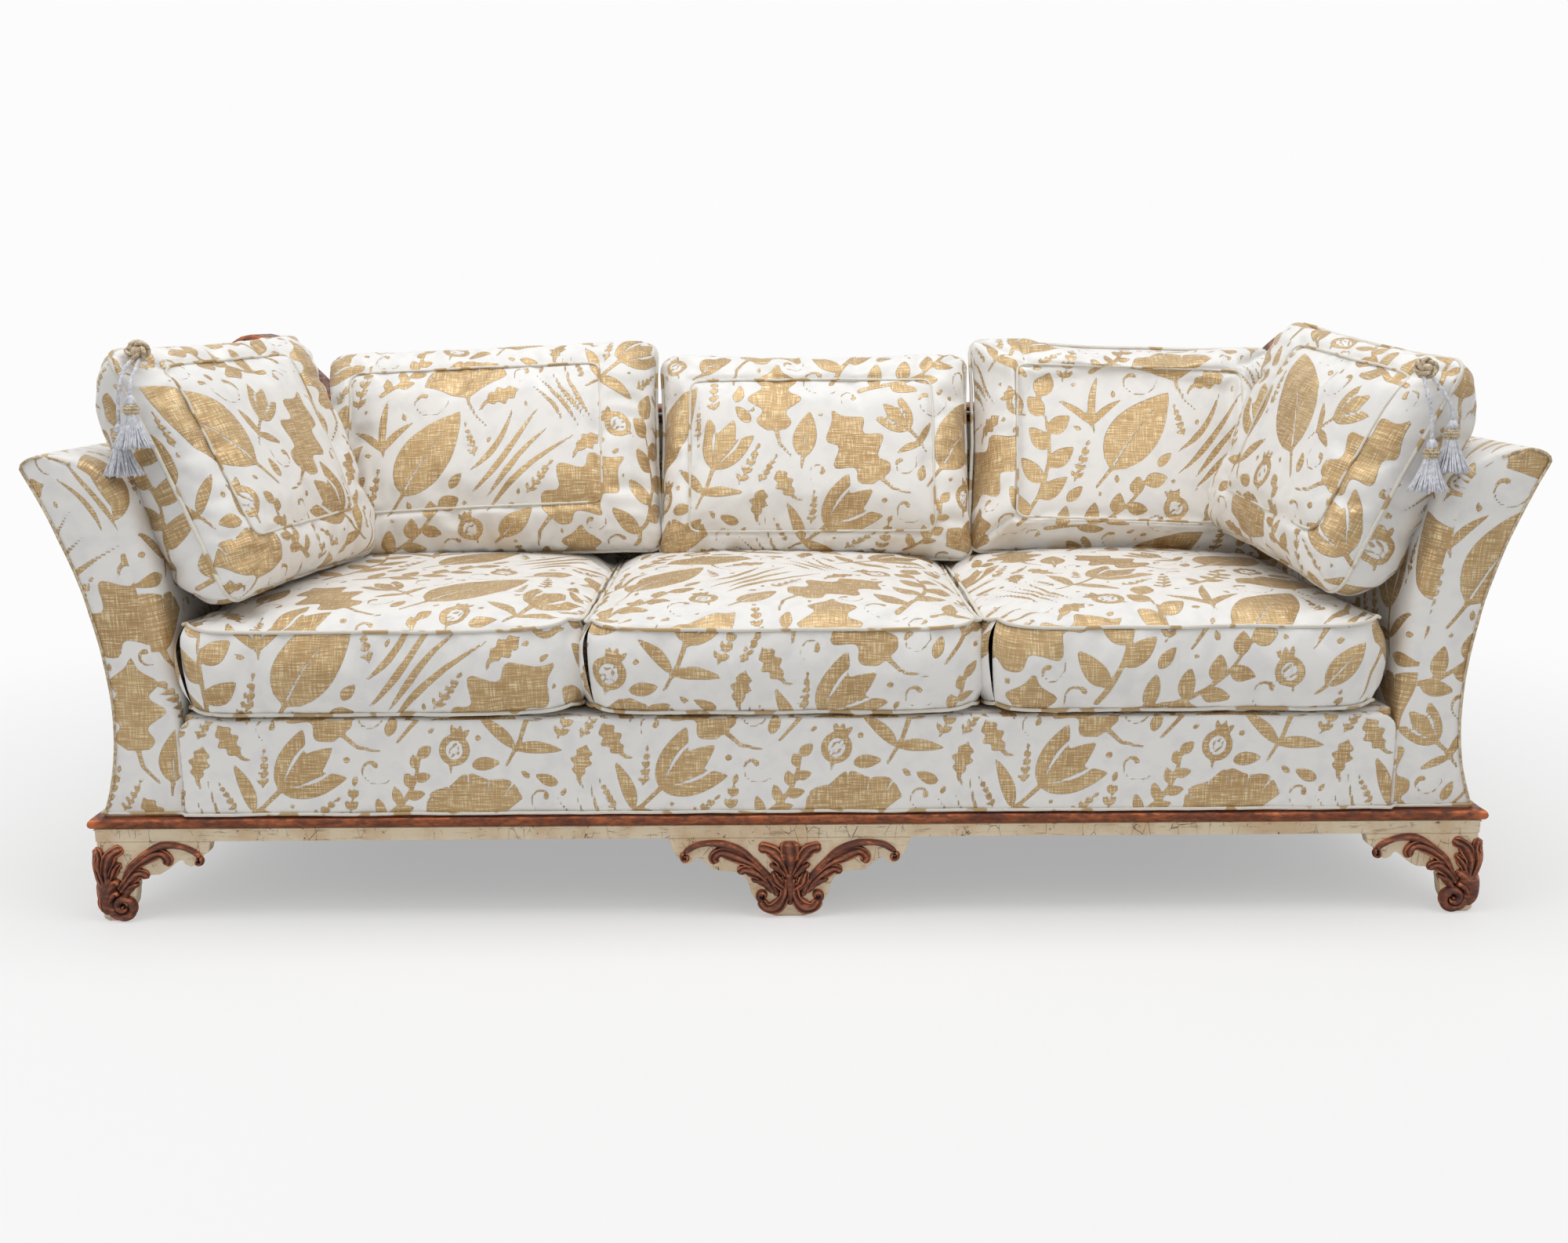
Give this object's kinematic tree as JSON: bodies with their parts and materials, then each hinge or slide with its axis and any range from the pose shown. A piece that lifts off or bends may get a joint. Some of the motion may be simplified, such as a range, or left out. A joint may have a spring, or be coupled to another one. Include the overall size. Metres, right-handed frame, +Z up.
{
  "type": "cabriole sofa",
  "caption": "Upholstered sofa with outswept arms, loose boxed seat cushions and pillows, tasselled ends, and a painted plinth on carved bracket feet.",
  "frame": {"origin": "on the floor under the middle of the sofa", "axes": "+X along the length to the viewer's right, +Y from the front to the back, +Z up; the front faces -Y"},
  "size_m": [2.33, 0.9341, 0.934],
  "materials": {
    "brocade": "ivory satin ground with woven gold motifs",
    "painted_wood": "cream distemper, chipped and rubbed",
    "copper_leaf": "copper leaf over dark red bole",
    "beech": "sawn, unfinished",
    "jute": "woven webbing",
    "cambric": "black non-woven cloth",
    "silver_cord": "twisted rayon",
    "gold_braid": "plaited braid"
  },
  "bodies": {
    "frame": {"plinth_rail_front": "painted_wood", "gilt_moulding_front": "copper_leaf", "plinth_rail_right": "painted_wood", "gilt_moulding_right": "copper_leaf", "plinth_rail_left": "painted_wood", "gilt_moulding_left": "copper_leaf", "plinth_rail_rear": "painted_wood", "foot_front_left": "painted_wood", "carving_front_left": "copper_leaf", "foot_front_right": "painted_wood", "carving_front_right": "copper_leaf", "foot_rear_right": "painted_wood", "foot_rear_left": "painted_wood", "foot_front_centre": "painted_wood", "carving_front_centre": "copper_leaf", "seat_rail_front": "beech", "seat_stretcher": "beech", "seat_webbing": "jute", "seat_deck": "brocade", "seat_front_border": "brocade", "dust_cover": "cambric", "arm_facing_left": "brocade", "arm_inside_pad_left": "brocade", "arm_outside_panel_left": "brocade", "arm_front_post_left": "beech", "arm_top_rail_left": "beech", "seat_rail_left": "beech", "arm_facing_right": "brocade", "arm_inside_pad_right": "brocade", "arm_outside_panel_right": "brocade", "arm_front_post_right": "beech", "arm_top_rail_right": "beech", "seat_rail_right": "beech", "back_outside_panel": "brocade", "back_inside_pad": "brocade", "back_crest": "copper_leaf", "back_top_rail": "beech", "back_post_left": "beech", "back_post_right": "beech", "seat_rail_rear": "beech", "crest_cord": "silver_cord"},
    "seat_cushion_left": {"seat_cushion_left": "brocade"},
    "seat_cushion_middle": {"seat_cushion_middle": "brocade"},
    "seat_cushion_right": {"seat_cushion_right": "brocade"},
    "back_cushion_left": {"back_cushion_left": "brocade"},
    "back_cushion_middle": {"back_cushion_middle": "brocade"},
    "back_cushion_right": {"back_cushion_right": "brocade"},
    "side_cushion_left": {"side_cushion_left": "brocade", "knot_left": "gold_braid", "tassel_cord_left_front": "silver_cord", "tassel_left_front": "silver_cord", "tassel_cord_left_rear": "silver_cord", "tassel_left_rear": "silver_cord"},
    "side_cushion_right": {"side_cushion_right": "brocade", "knot_right": "gold_braid", "tassel_cord_right_front": "silver_cord", "tassel_right_front": "silver_cord", "tassel_cord_right_rear": "silver_cord", "tassel_right_rear": "silver_cord"}
  },
  "joints": [
    {"name": "pull_out_seat_left", "type": "slide", "parent": "frame", "child": "seat_cushion_left", "axis": [0, -1, 0], "range_m": [0, 0.85]},
    {"name": "pull_out_seat_middle", "type": "slide", "parent": "frame", "child": "seat_cushion_middle", "axis": [0, -1, 0], "range_m": [0, 0.85]},
    {"name": "pull_out_seat_right", "type": "slide", "parent": "frame", "child": "seat_cushion_right", "axis": [0, -1, 0], "range_m": [0, 0.85]},
    {"name": "lift_back_left", "type": "slide", "parent": "frame", "child": "back_cushion_left", "axis": [0, 0.0995, 0.995], "range_m": [0, 0.45]},
    {"name": "lift_back_middle", "type": "slide", "parent": "frame", "child": "back_cushion_middle", "axis": [0, 0.0995, 0.995], "range_m": [0, 0.45]},
    {"name": "lift_back_right", "type": "slide", "parent": "frame", "child": "back_cushion_right", "axis": [0, 0.0995, 0.995], "range_m": [0, 0.45]},
    {"name": "lift_side_left", "type": "slide", "parent": "frame", "child": "side_cushion_left", "axis": [0, 0, 1], "range_m": [0, 0.45]},
    {"name": "lift_side_right", "type": "slide", "parent": "frame", "child": "side_cushion_right", "axis": [0, 0, 1], "range_m": [0, 0.45]}
  ]
}
